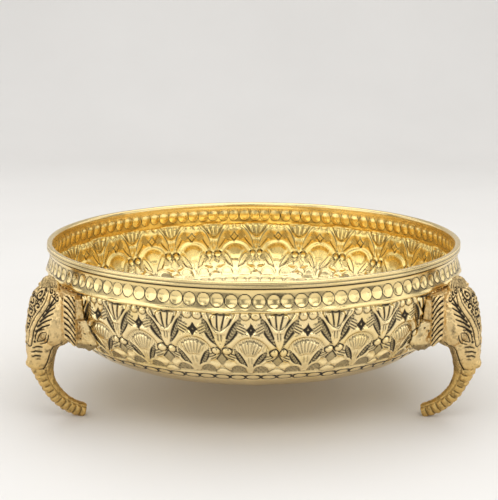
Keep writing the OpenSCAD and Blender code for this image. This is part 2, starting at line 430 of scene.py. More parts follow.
def normals(curve):
    """Unit normals to the left of a section's direction of travel."""
    run = np.gradient(curve, axis=0)
    size = np.hypot(run[:, 0], run[:, 1])[:, None]
    return np.stack([-run[:, 1], run[:, 0]], -1) / size


def softened(grid, around, along):
    """A grid of rings blurred a little, as relief is on the back of the sheet."""
    for axis, reach in ((1, around), (0, along)):
        total = grid * 2.0
        for k in range(1, reach + 1):
            weight = 2.0 * math.exp(-(1.6 * k / reach) ** 2)
            both = np.roll(grid, k, axis) + np.roll(grid, -k, axis)
            if axis == 0:
                both[:k] = 2 * grid[:k]
                both[-k:] = 2 * grid[-k:]
            total = total + weight * both
        weights = sum(math.exp(-(1.6 * k / reach) ** 2) for k in range(1, reach + 1))
        grid = total / (2.0 + 4.0 * weights)
    return grid


def uneven(turn, s):
    """The slight waviness of hand-beaten sheet."""
    return 0.10 * waves(turn / 360, s / ROUND, 5, low=4, high=18) \
        + 0.05 * waves(turn / 360, s / ROUND, 6, low=14, high=48)


def wall_grid(turn, step):
    """Radius, height, relief and darkness of every ring of the wall, top to bottom."""
    wall = wall_section()
    wall_s = lengths(wall)
    s = np.r_[0:RELIEF_END:step, RELIEF_END:wall_s[-1]:2.0]
    section = np.stack([np.interp(s, wall_s, wall[:, k]) for k in (0, 1)], -1)
    fine = np.stack([np.interp(s + d, wall_s, wall[:, k]) for d in (-0.5, 0.5) for k in (0, 1)], -1)
    run = fine[:, 2:] - fine[:, :2]
    out = np.stack([-run[:, 1], run[:, 0]], -1) / np.hypot(run[:, 0], run[:, 1])[:, None]
    turns, depths = np.meshgrid(turn, s)
    height, dark = relief(turns, depths)
    height = height + uneven(turns, depths) * ramp(depths, 0, 4) * ramp(wall_s[-1] + 5 - depths, 0, 8)
    return section, out, height, dark


def neck_grid(turn, step):
    """The same for the neck, from under the rim to the ledge."""
    section = walk(neck_section(), step, smooth=0.7)
    turns, depths = np.meshgrid(turn, section[:, 1])
    height, dark = neck_band(turns, depths)
    inside = ramp(-depths, 5.6, 7.0) * ramp(depths, -15.8, -14.6)
    return section, normals(section), height * inside + ledge_lip(turns, depths), dark * inside


def outlines(dark):
    """Thin lines where the pattern's darkness changes."""
    down, across = np.gradient(dark)
    return clamp(np.hypot(down, across))


def eased(level, height):
    """How far to move each ring of the inside so that it runs smoothly behind the ledge."""
    window = np.hanning(19)[1:-1]
    smooth = np.convolve(np.pad(level, 8, mode="edge"), window / window.sum(), "valid")
    return (smooth - level) * ramp(9 - np.abs(height + 17), 0, 3)


def moved(section, out, height):
    """Radii and heights of rings moved out by their relief."""
    return section[:, :1] + out[:, :1] * height, section[:, 1:] + out[:, 1:] * height


def floor_rings(turn, radii, height, wave, seed):
    """Rings of the flat floor at a height under the rim, a little uneven."""
    return [(r, height + wave * waves(turn / 360, r / ROUND, seed, low=1, high=5), 0.0, FLOOR_SATIN)
            for r in radii]


def inside_rings(turn, step, wall, neck):
    """From the inside of the floor up the backs of the wall and the neck. The pattern shows
    through the sheet: softer and a little higher up, with painted shade in thin lines where
    its darkness changes outside, and round the neck's beads."""
    neck_line, _, neck_h, neck_dark = neck
    wall_line, _, wall_h, wall_dark = wall
    section = np.concatenate([neck_line, wall_line[1:]])
    rise, neck_rise = int(round(BACK_RISE / step)), int(round(NECK_RISE / step))
    beads = np.roll(neck_h * NECK_RELIEF, -neck_rise, 0)[:-rise]
    height = softened(np.concatenate([beads, wall_h, wall_h[-rise + 1:] * 0]), 3, 3) * BACK_RELIEF
    # painted shade: the neck's darkness copied round the beads, and thin lines where the wall's
    # darkness changes
    bead_dark = BEAD_SHADE * np.roll(neck_dark, -neck_rise, 0)[:-rise]
    dark = np.concatenate([bead_dark, BACK_EDGE_SHADE * outlines(wall_dark), wall_dark[-rise + 1:] * 0])
    r, z = moved(section, normals(section), height - SHEET)
    for line in (r, z):
        line += eased(line.mean(axis=1), section[:, 1])[:, None]
    rings = floor_rings(turn, np.r_[4:FLOOR_R - 4:5.0], -BOWL_DEPTH + SHEET, 0.12, 7)
    for i in range(len(r) - 1, 3, -1):
        low = ramp(-section[i, 1], 34, 50)
        rings.append((r[i], z[i], dark[i], 1.0 + (FLOOR_SATIN - 1.0) * low))
    return rings


def rim_rings(turn):
    """Over the rolled rim, from its inside to its outside."""
    rings = []
    rim = walk(rim_section(), 0.42, smooth=0.45)[1:-1]
    tremble = 0.05 * waves(turn / 360, 0 * turn, 8, low=8, high=60)
    dip = 0.1 - 0.05 * waves(turn / 360, 0 * turn, 9, low=2, high=14)
    for i, (r, z) in enumerate(rim):
        outer = i > 0.55 * len(rim)
        groove = 0.4 * gauss(z + 1.95, 0.28) * outer
        # painted shadow on the underside of the rim's bead, where it turns in to the neck
        under = 0.84 * gauss(z + 4.4, 0.6) * outer
        rings.append((r + tremble, z - dip, RIM_DARK + groove + under, RIM_SATIN))
    return rings


def outside_rings(turn, wall, neck):
    """Down the outside of the neck and the wall, and in under the floor."""
    wall_line, wall_out, wall_h, wall_dark = wall
    wall_h = softened(wall_h, 2, 2) * 1.15
    wall_dark = 0.8 * wall_dark + 0.7 * outlines(wall_dark)
    neck = [part[:-1] for part in neck]
    rings = []
    for grids, satin in ((neck, NECK_SATIN), ((wall_line, wall_out, wall_h, wall_dark), WALL_SATIN)):
        section, out, height, dark = grids
        r, z = moved(section, out, height)
        rings += [(r[i], z[i], dark[i], satin) for i in range(len(r))]
    return rings + floor_rings(turn, np.r_[FLOOR_R - 2:4:-5.0], -BOWL_DEPTH, 0.1, 17)


def bowl_rings(columns, step):
    """Every ring of the bowl as (points, darkness, satin), from the inside of the floor, up,
    over the rim and down to the outside of the floor."""
    turn = np.arange(columns) * 360.0 / columns
    angle = np.radians(turn)
    wall, neck = wall_grid(turn, step), neck_grid(turn, step)
    rings = inside_rings(turn, step, wall, neck) + rim_rings(turn) + outside_rings(turn, wall, neck)
    flat = 0 * angle
    return [(np.stack([r * np.sin(angle), -r * np.cos(angle), z + flat + RIM_H], -1),
             dark + flat, satin + flat) for r, z, dark, satin in rings]


def closed_rings(rings, poles):
    """One closed mesh from rings of equal counts, with a fan from each end's pole."""
    count = len(rings[0])
    i = np.arange(count)
    start = np.arange(len(rings) - 1)[:, None] * count
    quads = np.stack([start + i, start + (i + 1) % count,
                      start + count + (i + 1) % count, start + count + i], -1).reshape(-1, 4)
    end = len(rings) * count
    last = end - count
    fans = [[end, (k + 1) % count, k] for k in range(count)]
    fans += [[end + 1, last + k, last + (k + 1) % count] for k in range(count)]
    return np.concatenate(rings + [np.array(poles)]), quads.tolist() + fans


def make_mesh(name, points_mm, faces, dark=None, satin=None):
    """A smooth-shaded object from points in millimetres."""
    mesh = bpy.data.meshes.new(name)
    mesh.from_pydata((np.asarray(points_mm) * MM).tolist(), [], faces)
    mesh.polygons.foreach_set("use_smooth", np.ones(len(mesh.polygons), dtype=bool))
    # the darkness layer holds tarnish in hollows and painted shade
    for layer_name, values in (("patina_and_shade", dark), ("satin", satin)):
        if values is not None:
            layer = mesh.attributes.new(layer_name, "FLOAT", "POINT")
            layer.data.foreach_set("value", np.ascontiguousarray(clamp(values), dtype=np.float32))
    mesh.update()
    obj = bpy.data.objects.new(name, mesh)
    bpy.context.scene.collection.objects.link(obj)
    return obj


def build_bowl():
    columns, step = ((1600, 0.5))
    points, dark, satin = zip(*bowl_rings(columns, step))
    mesh = closed_rings(list(points), [points[0].mean(axis=0), points[-1].mean(axis=0)])
    return make_mesh("embossed_bowl", *mesh, np.r_[np.concatenate(dark), 0.0, 0.0],
                     np.r_[np.concatenate(satin), FLOOR_SATIN, FLOOR_SATIN])


# ---------------------------------------------------------------- cast legs: the solid

BEND_RHO, BEND_Z, BEND_R = 104.5, 39.2, 38.0     # the trunk's curve
TRUNK_END = 73.0                                 # degrees below the middle of the curve
BACK_R = 130.0                                   # the casting's back, beside the boss
BOSS_LOW, BOSS_HIGH = 64.5, 76.0
RIVET_Z = 70.0


def blend(a, b, width):
    """Union of two distances with a fillet."""
    h = clamp(0.5 + 0.5 * (b - a) / width)
    return b + (a - b) * h - width * h * (1 - h)


def ball(p, centre, radii):
    q = (p - np.array(centre)) / np.array(radii)
    size = np.linalg.norm(q, axis=-1)
    slope = np.linalg.norm(q / np.array(radii), axis=-1) + 1e-9
    return size * (size - 1) / slope


def cone(p, a, b, r_a, r_b):
    """Distance to a stick with round ends, r_a thick at a and r_b at b."""
    a, b = np.array(a, float), np.array(b, float)
    run = b - a
    along = clamp(((p - a) @ run) / (run @ run))
    return np.linalg.norm(p - a - along[..., None] * run, axis=-1) - (r_a + (r_b - r_a) * along)


def slab(u, v, w, half, rounding):
    """Distance to a box with rounded edges."""
    q = np.stack([np.abs(u) - half[0], np.abs(v) - half[1], np.abs(w) - half[2]], -1) + rounding
    return np.linalg.norm(np.maximum(q, 0), axis=-1) + np.minimum(q.max(axis=-1), 0) - rounding


def wall_radius(z):
    """Outside radius of the bowl's wall at a height above the table."""
    wall = wall_section(120)
    return np.interp(z, wall[::-1, 1] + RIM_H, wall[::-1, 0])


def trunk_place(p):
    """Degrees below the middle of the trunk's curve, outward distance from its centre line,
    and its radius there in the plane of the curve and across it."""
    out, up = p[..., 0] - BEND_RHO, p[..., 2] - BEND_Z
    turn = np.degrees(np.arctan2(-up, out))
    stations = [-12, -4, 6, 14, 22, 30, 60, 75]
    inward = np.interp(turn, stations, [1.6, 1.5, 1.4, 1.3, 1.3, 1.2, 0.4, 0.0])
    in_plane = np.interp(turn, stations, [9.0, 8.4, 7.1, 5.8, 4.8, 4.3, 4.15, 4.05])
    across = np.interp(turn, stations, [7.4, 6.9, 6.0, 5.1, 4.6, 4.3, 4.1, 4.05])
    return turn, np.hypot(out, up) - BEND_R + inward, in_plane, across


def trunk_shape(p):
    turn, out, radius, across = trunk_place(p)
    around = (np.abs(out) ** 2.5 + np.abs(p[..., 1] * 1.08 * radius / across) ** 2.5) ** 0.4
    tube = around - radius
    tip = (turn - TRUNK_END) * math.radians(1) * BEND_R
    start = (-14 - turn) * math.radians(1) * BEND_R
    return -blend(-np.maximum(tube, start), -tip, 1.2)


def ear_place(p):
    """Across the ear's strip from its front edge, out of its face, and up."""
    x, y = p[..., 0] - 133.4, p[..., 1] - 18.4
    lean = math.atan2(4.9, -4.6)
    across, outward = x * math.cos(lean) + y * math.sin(lean), x * math.sin(lean) - y * math.cos(lean)
    return across, outward, p[..., 2]


def ear_shape(p):
    across, outward, z = ear_place(p)
    bow = 0.8 * (1 - ((z - 64) / 15) ** 2)
    strip = slab(across - 3.2, outward + 1.4 - bow, z - 64.0, (3.7, 2.6, 14.7), 0.9)
    return np.maximum(strip, 0.75 * (53.8 - z - 0.85 * across))


def leg_shape(p):
    """Signed distance to a leg's casting at (rho, t, z), with t taken as a distance."""
    skull = ball(p, (131.0, 0, 63.0), (15.0, 17.0, 18.0))
    nose = np.minimum(cone(p, (136.6, 0, 71.8), (141.0, 0, 56.0), 9.0, 8.3),
                      cone(p, (141.0, 0, 56.0), (141.2, 0, 43.0), 8.3, 6.6))
    shape = blend(skull, nose, 4.0)
    shape = blend(shape, ball(p, (133.6, 0, 80.8), (4.6, 9.5, 4.9)), 1.5)
    shape = blend(shape, ball(p, (134.8, 10.2, 57.5), (9.0, 7.2, 10.5)), 3.0)
    shape = blend(shape, trunk_shape(p), 3.0)
    shape = blend(shape, cone(p, (139.2, 6.0, 46.5), (140.4, 3.4, 33.0), 4.0, 2.2), 2.0)
    shape = blend(shape, cone(p, (144.5, 0, 38.6), (147.9, 0, 36.4), 3.6, 2.6), 1.5)
    shape = blend(shape, ear_shape(p), 1.2)
    axis_r = np.hypot(p[..., 0], p[..., 1])
    behind = np.maximum(axis_r - BACK_R, 46.0 - p[..., 2])
    shape = np.maximum(shape, -behind)
    boss = slab(axis_r - 126.8, p[..., 1], p[..., 2] - (BOSS_LOW + BOSS_HIGH) / 2,
                (3.9, 23.7, (BOSS_HIGH - BOSS_LOW) / 2), 0.7)
    shelf = slab(axis_r - 128.6, p[..., 1], p[..., 2] - 77.3, (5.0, 17.6, 1.6), 0.6)
    shape = np.minimum(shape, np.minimum(boss, shelf))
    gap = 0.3 + 1.0 * ramp(p[..., 1], 16.5, 19.5) * ramp(76.0 - p[..., 2], 0, 1)
    shape = np.maximum(shape, wall_radius(p[..., 2]) + gap - axis_r)
    shape = np.maximum(shape, p[..., 2] - 78.3 - ramp(axis_r, 132.0, 135.0) * 30)
    return np.maximum(shape, 0.02 - p[..., 2])


def grid(low, high, step):
    counts = [int(math.ceil((b - a) / step)) + 1 for a, b in zip(low, high)]
    axes = [a + step * np.arange(n) for a, n in zip(low, counts)]
    return np.stack(np.meshgrid(*axes, indexing="ij"), -1)


def net(field, low, step):
    """Quads round the field's inside: one point in each cell that the surface crosses."""
    inside = field < 0
    mixed = np.zeros([n - 1 for n in field.shape], dtype=int)
    corners = [(a, b, c) for a in (0, 1) for b in (0, 1) for c in (0, 1)]
    for a, b, c in corners:
        mixed += inside[a:a + mixed.shape[0], b:b + mixed.shape[1], c:c + mixed.shape[2]]
    cells = np.argwhere((mixed > 0) & (mixed < 8))
    number = np.full(mixed.shape, -1)
    number[tuple(cells.T)] = np.arange(len(cells))
    total, count = np.zeros((len(cells), 3)), np.zeros(len(cells))
    for corner in corners:
        for axis in range(3):
            if corner[axis] == 0:
                step_on = np.eye(3, dtype=int)[axis]
                a = field[tuple((cells + corner).T)]
                b = field[tuple((cells + corner + step_on).T)]
                crossed = (a < 0) != (b < 0)
                t = np.where(crossed, a / np.where(crossed, a - b, 1), 0)
                total += crossed[:, None] * (np.array(corner) + t[:, None] * step_on)
                count += crossed
    points = (cells + total / count[:, None]) * step + np.array(low)
    faces = []
    for axis in range(3):
        one = np.roll(np.eye(3, dtype=int)[0], axis)
        side, up = np.roll(one, 1), np.roll(one, 2)
        first = inside[tuple(slice(0, n - one[k]) for k, n in enumerate(field.shape))]
        second = inside[tuple(slice(one[k], n) for k, n in enumerate(field.shape))]
        edges = np.argwhere(first != second)
        keep = np.all((edges - side - up) >= 0, axis=1)
        keep &= np.all(edges <= np.array(number.shape) - 1, axis=1)
        edges = edges[keep]
        out = first[tuple(edges.T)]
        around = [number[tuple((edges - move).T)] for move in (side + up, up, 0 * up, side)]
        quads = np.stack(around, -1)
        quads[~out] = quads[~out][:, ::-1]
        faces.append(quads)
    return points, np.concatenate(faces)


def slope(shape, points, reach=0.05):
    """Unit normals of a distance field."""
    runs = [shape(points + reach * np.eye(3)[k]) - shape(points - reach * np.eye(3)[k])
            for k in range(3)]
    run = np.stack(runs, -1)
    return run / (np.linalg.norm(run, axis=-1)[:, None] + 1e-9)


def sided(p):
    """The same place on the leg's left or right half."""
    return np.concatenate([p[..., :1], np.abs(p[..., 1:2]), p[..., 2:]], -1)


def skin(shape, low, high, step):
    """Points, normals and faces of a shape, with the points drawn onto its surface."""
    points, faces = net(shape(grid(low, high, step)), low, step)
    for _ in range(2):
        points = points - 0.8 * shape(points)[:, None] * slope(shape, points)
    return points, slope(shape, points, 0.3), faces


# ---------------------------------------------------------------- cast legs: the cut detail

FACE_R = 16.5           # turns an angle round the head into millimetres round the face
RING_TURN = 5.87        # degrees of the trunk's curve from ring to ring
FAR = 9                 # millimetres that put a groove out of reach where it isn't wanted


def cut(height, dark, distance, width, depth, strength=1.0):
    """A V-shaped groove, dark at the bottom."""
    line = gauss(distance, width)
    return height - depth * line, np.maximum(dark, strength * gauss(distance, width * 1.15))


def grain(p, seed, low, high, count=12):
    """Smooth noise in space, with waves from low to high millimetres long."""
    rng = np.random.default_rng(seed)
    total = np.zeros(p.shape[:-1])
    for _ in range(count):
        way = rng.normal(size=3)
        way /= np.linalg.norm(way) * rng.uniform(low, high)
        total += np.sin(TAU * (p @ way) + rng.uniform(0, TAU))
    return total / math.sqrt(count)


def scroll(x, z, centre, radius, pitch, hand):
    """A curled tendril: height of its spiral, and how much it counts here."""
    dx, dz = x - centre[0], z - centre[1]
    out = np.hypot(dx, dz)
    turn = np.arctan2(dz, dx) * hand
    return np.cos(TAU * out / pitch - turn), ramp(radius - out, 0, 0.5)


# Curled tendrils of the forehead, as (middle, radius, way they turn)
SCROLLS = [((6.6, 77.0), 3.6, 1), ((1.8, 73.4), 3.2, -1), ((6.8, 70.6), 2.7, 1),
           ((2.0, 66.8), 2.8, 1), ((1.2, 61.4), 2.0, -1), ((1.6, 79.6), 2.4, 1)]


def carve_forehead(height, dark, x, z):
    """Scrollwork between the two borders that run from the crown down the trunk."""
    edge = np.interp(z, [48, 52, 58, 62, 66, 70, 75, 84],
                     [0.6, 0.8, 1.6, 2.8, 5.4, 8.6, 11.4, 11.0])
    panel = ramp(edge - x, -0.3, 0.6) * ramp(z, 54, 57)
    weave = np.sin(TAU * (x * 0.42 + z * 0.11)) * np.sin(TAU * (z * 0.37 - x * 0.13))
    height = height + panel * (0.4 * weave - 0.25)
    dark = np.maximum(dark, panel * (0.68 - 0.5 * weave))
    for centre, radius, hand in SCROLLS:
        curl, here = scroll(x, z, centre, radius, 2.15, hand)
        here = here * panel
        height = height + here * (0.5 * curl - 0.4 * weave + 0.1)
        dark = dark + here * (0.58 - 0.62 * curl - dark)
    return height, np.maximum(dark, 0)


def carve_border(height, dark, x, z):
    """The raised border from the crown down to the trunk."""
    border = [(13.6, 82.0), (14.2, 77.0), (13.4, 72.6), (10.4, 68.0), (7.0, 63.6), (4.6, 58.8),
              (3.0, 53.5), (2.4, 48.5)]
    d, _ = path(x, z, border)
    height = height + 0.42 * ridge(d, 1.25)
    height, dark = cut(height, dark, d - 1.45, 0.33, 0.42)
    return height, dark * (1 - 0.9 * ridge(d, 0.9))


def carve_feathers(height, dark, x, z):
    """Feathered wrinkles from the border back over the cheek, the last two short."""
    count, short, drop = 8, 2, 5.2
    for k in range(count):
        top = 76.6 - 3.05 * k
        edge = np.interp(top - drop, [48, 54, 60, 66, 72, 78], [3, 3.6, 5.6, 9.6, 13.4, 14.2])
        end = (float(edge) + 2.3, top - drop)
        start = (20.6 - 0.95 * k, top)
        if k >= count - short:
            start = (end[0] + 2.6, top - 3.0)
        middle = ((start[0] + end[0]) / 2, (start[1] + end[1]) / 2 + 0.7)
        d, along = path(x, z, [start, middle, end])
        height, dark = cut(height, dark, d / (0.5 + 0.6 * along), 0.7, 0.62)
    return height, dark


def carve_eye(height, dark, x, z):
    """An almond inside two lids."""
    turn = math.radians(42)
    dx, dz = x - 10.4, z - 53.4
    u = dx * math.cos(turn) + dz * math.sin(turn)
    v = -dx * math.sin(turn) + dz * math.cos(turn)
    lens = np.abs(v) - 2.0 * (1 - (u / 4.8) ** 2)
    inside = ramp(2.2 - lens, 0, 0.6) * ramp(5.6 - np.abs(u), 0, 0.8)
    height, dark = height * (1 - inside), dark * (1 - inside)
    height = height + inside * (0.5 * ramp(-lens, 0.3, 1.6) + 0.35 * gauss(lens - 0.9, 0.6))
    height, dark = cut(height, dark, lens + FAR * (1 - inside), 0.34, 0.45)
    height, dark = cut(height, dark, lens - 1.9 + FAR * (np.abs(u) > 5.0), 0.36, 0.42)
    return cut(height, dark, np.abs(lens + 1.1) + FAR * (1 - inside), 0.22, 0.2, 0.6)


def carve_wrinkles(height, dark, x, z):
    """Wrinkles across the root of the trunk."""
    for level, start, end in ((46.8, 4.4, 9.0), (44.0, 3.2, 8.6), (41.4, 3.6, 7.6), (39.0, 5.0, 7.4)):
        middle = ((start + end) / 2, level + 0.4)
        d, along = path(x, z, [(start, level - 0.4), middle, (end, level)])
        height, dark = cut(height, dark, d / (0.45 + 0.7 * along * (2 - 1.6 * along)), 0.75, 0.5, 0.85)
    return height, dark


def carve_mouth(height, dark, rho, t, z):
    """The line of the lip, and the stippled fold behind it."""
    line = [(133.8, 50.2), (136.8, 47.8), (138.6, 44.6), (139.5, 41.0), (140.3, 37.0), (142.2, 33.0)]
    d, _ = path(rho, z, line)
    side = ramp(t, 2.5, 4.5)
    height, dark = cut(height, dark, d + FAR * (1 - side), 0.45, 0.55)
    edge = np.interp(z, [30, 33, 37, 41, 44.6, 47.8, 50.2],
                     [142.6, 141.8, 139.9, 139.1, 138.2, 136.4, 133.0])
    fold = ramp(edge - rho, 0, 0.8) * ramp(z, 28, 31) * ramp(50.5 - z, 0, 1.5) * side
    dots = np.sin(TAU * (rho * 0.62 + z * 0.4)) * np.sin(TAU * (z * 0.66 - rho * 0.36))
    height = height - 0.16 * fold * ramp(dots, 0.1, 0.7)
    return height, np.maximum(dark, fold * 0.8 * ramp(dots, 0.1, 0.8))


def carve_ear(height, dark, p):
    across, outward, z = ear_place(p)
    on_ear = ramp(outward, -0.6, 0.4) * ramp(z, 48.8, 50.0) * ramp(79.3 - z, 0, 1)
    on_ear = on_ear * ramp(across, -0.5, 0.4)
    phase = (z + 0.35 * across + 0.095 * across ** 2) / 3.3
    rib = np.abs(np.sin(math.pi * phase))
    height = height + on_ear * (1.5 * rib ** 0.8 - 1.3)
    return height, np.maximum(dark, on_ear * clamp(1.5 - 1.75 * rib))


def carve_trunk(height, dark, p):
    turn, out, _, _ = trunk_place(p)
    on_trunk = ramp(turn, 3, 8)
    middle = np.interp(turn, [8, 30, 45, 60, 75], [0.6, 0.0, -0.9, -1.6, -1.8])
    face = ramp(out - middle, 0.0, 0.5) * on_trunk
    phase = (turn - 3.0) / RING_TURN
    part = phase - np.floor(phase)
    ring = 1 - np.abs(2 * part - 1) ** 2.2
    height = height + face * (0.8 * ring - 0.4)
    to_line = np.minimum(part, 1 - part) * 4.1
    dark = np.maximum(dark, face * 0.66 * gauss(to_line, 0.6) * ramp(5.2 - out, 0, 2))
    line = gauss(out - middle + 0.4, 0.42) * on_trunk
    return height - 0.3 * line, np.maximum(dark, 0.55 * line)


def carve_crown(height, dark, rho, x, z):
    """The fringe on the crown, and curls behind it."""
    fringe = ramp(z, 80.0, 81.2) * ramp(rho, 129.5, 131.0) * ramp(140.2 - rho, 0, 0.8)
    flute = np.cos(TAU * x / 1.9)
    height = height * (1 - fringe) + fringe * (0.42 * flute - 0.1)
    dark = dark * (1 - fringe) + fringe * (0.42 - 0.5 * flute)
    for centre, hand in (((18.0, 77.6), 1), ((20.6, 75.2), -1), ((15.8, 79.2), -1)):
        curl, here = scroll(x, z, centre, 2.4, 1.7, hand)
        height = height + here * (0.45 * curl - height)
        dark = dark + here * (0.55 - 0.65 * curl - dark)
    return height, dark


def carve(p, seed):
    """Height and darkness of the detail cut into a leg at points (rho, t, z)."""
    rho, t, z = p[..., 0], np.abs(p[..., 1]), p[..., 2]
    x = np.arctan2(t, rho - 131.0) * FACE_R
    height = 0.13 * grain(p, seed, 1.6, 4.0) + 0.06 * grain(p, seed + 1, 0.9, 1.6)
    dark = 0.24 + 0.13 * grain(p, seed + 2, 2.0, 7.0) + 0.08 * grain(p, seed + 3, 0.9, 2.0)
    carved, shade = np.zeros_like(x), np.zeros_like(x)
    for step in (carve_forehead, carve_border, carve_feathers, carve_eye, carve_wrinkles):
        carved, shade = step(carved, shade, x, z)
    carved, shade = carve_crown(carved, shade, rho, x, z)
    on_face = ramp(z, 38, 40) * ramp(22.2 - x, 0, 1.2) * ramp(rho, 131.5, 133.0)
    height = height + carved * on_face
    dark = np.maximum(dark, shade * on_face)
    height, dark = carve_mouth(height, dark, rho, t, z)
    height, dark = carve_ear(height, dark, sided(p))
    return carve_trunk(height, dark, p)


def to_world(p, turn):
    """From (rho, t, z) to the leg's own place round the bowl."""
    a = math.radians(turn)
    return np.stack([p[:, 0] * math.sin(a) + p[:, 1] * math.cos(a),
                     -p[:, 0] * math.cos(a) + p[:, 1] * math.sin(a), p[:, 2]], -1)


def leg_mesh(step):
    """The plain casting, in leg coordinates, shared by the three legs."""
    return skin(lambda p: leg_shape(sided(p)), (108.0, -24.5, -1.5), (153.0, 24.5, 88.0), step)


def build_leg(name, turn, casting, seed):
    points, out, faces = casting
    height, dark = carve(points, seed)
    points = points + out * height[:, None]
    points[:, 2] = np.maximum(points[:, 2], 0.01)
    warm = 0.35 + 0.65 * ramp(44 - points[:, 2], 0, 16)
    return make_mesh(name, to_world(points, turn), faces.tolist(), dark, warm)


# ---------------------------------------------------------------- seats and rivets

def seat_shape(p):
    """The lump of braze between a casting's back and the wall, wider where it meets the wall."""
    axis_r = np.hypot(p[..., 0], p[..., 1])
    lumps = 0.5 * grain(p, 71, 6.0, 12.0, 8) + 0.25 * grain(p, 72, 2.4, 4.5, 10)
    inward = ramp(BACK_R - axis_r, 0, 9)
    low = 49.0 - 4.5 * inward + 2.5 * ramp(np.abs(p[..., 1]), 15, 25)
    middle, half = (low + 64.6) / 2, (64.6 - low) / 2
    width = 20.4 + 6.2 * inward
    body = slab(axis_r - 124.2, p[..., 1] * 20.0 / width, (p[..., 2] - middle) * (8.0 / half),
                (6.6, 20.0, 8.0), 3.0)
    body = np.maximum(body - lumps, axis_r - BACK_R - 0.3)
    return np.maximum(body, wall_radius(p[..., 2]) - 0.1 - axis_r)


def build_seat(name, turn, casting, seed):
    points, out, faces = casting
    pits = ramp(grain(points, seed, 1.6, 3.2, 10), 0.8, 1.8)
    height = 0.10 * grain(points, seed + 1, 1.2, 2.6) - 0.35 * pits
    axis_r = np.hypot(points[:, 0], points[:, 1])
    # painted shade where the braze meets the wall and along its underside
    painted_shade_at_wall = ramp(wall_radius(points[:, 2]) + 1.6 - axis_r, 0, 1.4)
    under = ramp(51.0 - points[:, 2], 0, 2)
    dark = np.maximum(0.15 + 0.2 * grain(points, seed + 2, 2.5, 8.0), 0.8 * pits)
    dark = np.maximum(dark, np.maximum(0.75 * painted_shade_at_wall, 0.5 * under))
    return make_mesh(name, to_world(points + out * height[:, None], turn), faces.tolist(), dark)


def build_rivet(name, turn):
    """A turned rivet, its head just under the bowl's inner skin."""
    wall = float(wall_radius(RIVET_Z))
    profile = [(wall - 0.75, 0.0), (wall - 0.72, 2.6), (wall - 0.55, 2.95), (wall - 0.1, 2.1),
               (wall + 0.3, 1.9), (wall + 6.6, 1.9), (wall + 7.2, 1.5), (wall + 7.4, 0.0)]
    count = 48
    angle = np.arange(count) * TAU / count
    rings = [np.stack([np.full(count, x), r * np.cos(angle), RIVET_Z + r * np.sin(angle)], -1)
             for x, r in profile[1:-1]]
    points, faces = closed_rings(rings, [(profile[0][0], 0.0, RIVET_Z), (profile[-1][0], 0.0, RIVET_Z)])
    return make_mesh(name, to_world(points, turn), faces, np.zeros(len(points)))


# ---------------------------------------------------------------- materials

class Nodes:
    """Short calls for building a material's nodes."""

    def __init__(self, name):
        self.material = bpy.data.materials.new(name)
        self.material.use_nodes = True
        self.tree = self.material.node_tree
        self.shader = self.tree.nodes["Principled BSDF"]

    def add(self, kind, **settings):
        node = self.tree.nodes.new(kind)
        for key, value in settings.items():
            if hasattr(node, key):
                setattr(node, key, value)
            else:
                node.inputs[key.replace("_", " ")].default_value = value
        return node

    def link(self, a, b):
        self.tree.links.new(a, b)

    def noise(self, scale, detail=4.0, roughness=0.55):
        where = self.add("ShaderNodeTexCoord").outputs["Object"]
        node = self.add("ShaderNodeTexNoise")
        node.inputs["Scale"].default_value = scale
        node.inputs["Detail"].default_value = detail
        node.inputs["Roughness"].default_value = roughness
        self.link(where, node.inputs["Vector"])
        return node.outputs["Fac"]

    def remap(self, value, low, high, new_low, new_high):
        node = self.add("ShaderNodeMapRange", clamp=True)
        self.link(value, node.inputs["Value"])
        for key, number in zip(("From Min", "From Max", "To Min", "To Max"),
                               (low, high, new_low, new_high)):
            node.inputs[key].default_value = number
        return node.outputs["Result"]

    def math(self, operation, a, b):
        node = self.add("ShaderNodeMath", operation=operation)
        for value, socket in zip((a, b), node.inputs):
            if isinstance(value, (int, float)):
                socket.default_value = value
            else:
                self.link(value, socket)
        return node.outputs["Value"]

    def mix(self, factor, a, b):
        node = self.add("ShaderNodeMix", data_type="RGBA")
        self.link(factor, node.inputs["Factor"])
        for value, socket in ((a, node.inputs["A"]), (b, node.inputs["B"])):
            if isinstance(value, tuple):
                socket.default_value = value
            else:
                self.link(value, socket)
        return node.outputs["Result"]

    def bump(self, height, strength, distance, normal=None):
        node = self.add("ShaderNodeBump")
        node.inputs["Strength"].default_value = strength
        node.inputs["Distance"].default_value = distance
        self.link(height, node.inputs["Height"])
        if normal is not None:
            self.link(normal, node.inputs["Normal"])
        return node.outputs["Normal"]


BRASS = (0.93, 0.75, 0.42, 1.0)
BRASS_WARM = (0.86, 0.63, 0.19, 1.0)
CAST = (0.84, 0.64, 0.34, 1.0)
CAST_WARM = (0.63, 0.41, 0.12, 1.0)
BRAZE = (0.88, 0.70, 0.38, 1.0)
# near-black for tarnish and for painted shade
PATINA_AND_SHADE = (0.022, 0.019, 0.018, 1.0)


